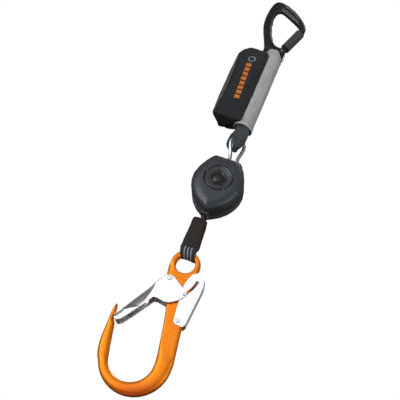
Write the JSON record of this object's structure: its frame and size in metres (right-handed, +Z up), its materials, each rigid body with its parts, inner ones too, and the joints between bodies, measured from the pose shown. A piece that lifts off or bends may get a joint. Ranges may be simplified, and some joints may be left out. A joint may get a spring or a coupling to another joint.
{
  "type": "self retracting lifeline",
  "caption": "Compact webbing fall arrester: twist-lock carabiner, tear-webbing absorber in a pouch, spring reel housing, short webbing end and a scaffold hook.",
  "frame": {"origin": "highest point inside the carabiner, where it bears on its anchor, midway through its thickness", "axes": "+Z up along the load line, the whole device hanging below the anchor; +X to the side of both gates' hinges as seen from the front; -Y out of the front cover"},
  "size_m": [0.1179, 0.0465, 0.7838],
  "materials": {
    "black_alloy": "black anodised, satin gloss",
    "steel": "zinc plated, satin",
    "bright_steel": "polished sheet and wire",
    "brass": "turned",
    "orange_alloy": "orange anodised, glossy",
    "casing": "fine textured, satin",
    "casing_dark": "matt",
    "black_fabric": "woven polyamide, folded and stitched",
    "grey_fabric": "coated woven cover",
    "slate_webbing": "woven webbing",
    "brown_fabric": "coarse woven wear sleeve",
    "line_webbing": "woven webbing with three pale lengthwise stripes",
    "orange_print": "printed stripe pattern",
    "polymer": "moulded drum"
  },
  "bodies": {
    "carabiner": {"carabiner_body": "black_alloy", "carabiner_hinge_pin": "steel", "captive_pin": "bright_steel"},
    "anchor_gate": {"carabiner_gate": "black_alloy"},
    "barrel": {"lock_barrel": "black_alloy"},
    "absorber": {"absorber_webbing_upper": "slate_webbing", "absorber_webbing_lower": "slate_webbing", "tear_webbing_pack": "slate_webbing", "absorber_pouch": "black_fabric", "absorber_sleeve": "grey_fabric", "pouch_side_panel": "grey_fabric", "pouch_round_patch": "grey_fabric", "pouch_stripe_patch": "orange_print"},
    "housing": {"shackle_bow": "bright_steel", "shackle_yoke": "steel", "yoke_pin": "steel", "housing_front_cover": "casing", "housing_rear_cover": "casing", "housing_band": "casing_dark", "hub_cap": "casing_dark", "frame_plate_front": "steel", "frame_plate_rear": "steel", "spacer_post_left": "steel", "spacer_post_right": "steel", "cover_screw_1": "steel", "cover_screw_2": "steel", "cover_screw_3": "steel", "cover_screw_4": "steel", "lifeline_lead": "line_webbing", "line_nozzle": "casing_dark", "bush_front": "brass", "bush_rear": "brass", "ratchet_ring": "steel", "spring_cup": "casing_dark", "power_spring": "steel", "spring_cover": "casing_dark"},
    "reel": {"drum_shaft": "steel", "drum": "polymer", "lifeline_coil": "line_webbing", "pawl_carrier": "steel", "pawl_pin_a": "steel", "pawl_pin_b": "steel", "shaft_clip": "steel", "spring_arbor": "brass"},
    "locking_pawl_a": {"pawl_a": "steel"},
    "locking_pawl_b": {"pawl_b": "steel"},
    "line_end": {"lifeline_strip": "line_webbing", "end_sleeve": "brown_fabric", "end_loop": "line_webbing"},
    "hook": {"hook_body": "orange_alloy", "hook_gate_rivet": "steel", "hook_gate_spring": "steel", "lock_lever_rivet": "steel", "lock_lever_spring": "steel"},
    "gate": {"hook_gate": "bright_steel", "gate_tail_stud_front": "steel", "gate_tail_stud_rear": "steel"},
    "lever": {"lock_lever": "bright_steel"}
  },
  "joints": [
    {"name": "anchor_gate_open", "type": "hinge", "parent": "carabiner", "child": "anchor_gate", "pos_m": [0.0337, 0, -0.0908], "axis": [0, -1, 0], "range_deg": [0, 24], "stiffness_Nm_per_rad": 0.15, "springref_deg": -28.65},
    {"name": "barrel_twist", "type": "hinge", "parent": "anchor_gate", "child": "barrel", "pos_m": [0.0337, 0, -0.0908], "axis": [0.2927, 0, 0.9562], "range_deg": [0, 90], "stiffness_Nm_per_rad": 0.02, "springref_deg": -22.92},
    {"name": "absorber_swing", "type": "hinge", "parent": "carabiner", "child": "absorber", "pos_m": [0.0228, 0, -0.1038], "axis": [1, 0, 0], "range_deg": [-50, 50]},
    {"name": "shackle_swing", "type": "hinge", "parent": "absorber", "child": "housing", "pos_m": [0.0325, 0, -0.2998], "axis": [1, 0, 0], "range_deg": [-20, 20]},
    {"name": "line_pull", "type": "slide", "parent": "housing", "child": "line_end", "axis": [0, 0, -1], "range_m": [0, 1.7], "stiffness_N_per_m": 2, "springref_m": -5, "deforming": ["lifeline_strip"]},
    {"name": "drum_spin", "type": "hinge", "parent": "housing", "child": "reel", "pos_m": [0.0325, 0, -0.3928], "axis": [0, 1, 0], "range_deg": [0, 4900]},
    {"name": "pawl_a_swing", "type": "hinge", "parent": "reel", "child": "locking_pawl_a", "pos_m": [0.0325, 0, -0.3843], "axis": [0, -1, 0], "range_deg": [0, 10], "stiffness_Nm_per_rad": 0.003, "springref_deg": -22.92},
    {"name": "pawl_b_swing", "type": "hinge", "parent": "reel", "child": "locking_pawl_b", "pos_m": [0.0325, 0, -0.4013], "axis": [0, -1, 0], "range_deg": [0, 10], "stiffness_Nm_per_rad": 0.003, "springref_deg": -22.92},
    {"name": "hook_swing", "type": "hinge", "parent": "line_end", "child": "hook", "pos_m": [0.0395, 0, -0.5258], "axis": [1, 0, 0], "range_deg": [-25, 25]},
    {"name": "hook_gate_open", "type": "hinge", "parent": "hook", "child": "gate", "pos_m": [0.0278, 0, -0.576], "axis": [0, -1, 0], "range_deg": [0, 38], "stiffness_Nm_per_rad": 0.3, "springref_deg": -45.84},
    {"name": "lever_press", "type": "hinge", "parent": "hook", "child": "lever", "pos_m": [0.0653, 0, -0.6331], "axis": [0, -1, 0], "range_deg": [0, 6]}
  ],
  "couplings": [
    {"joint": "drum_spin", "follows": "line_pull", "rad_per_m": 50},
    {"joint": "lever_press", "follows": "hook_gate_open", "ratio": 0.15}
  ]
}
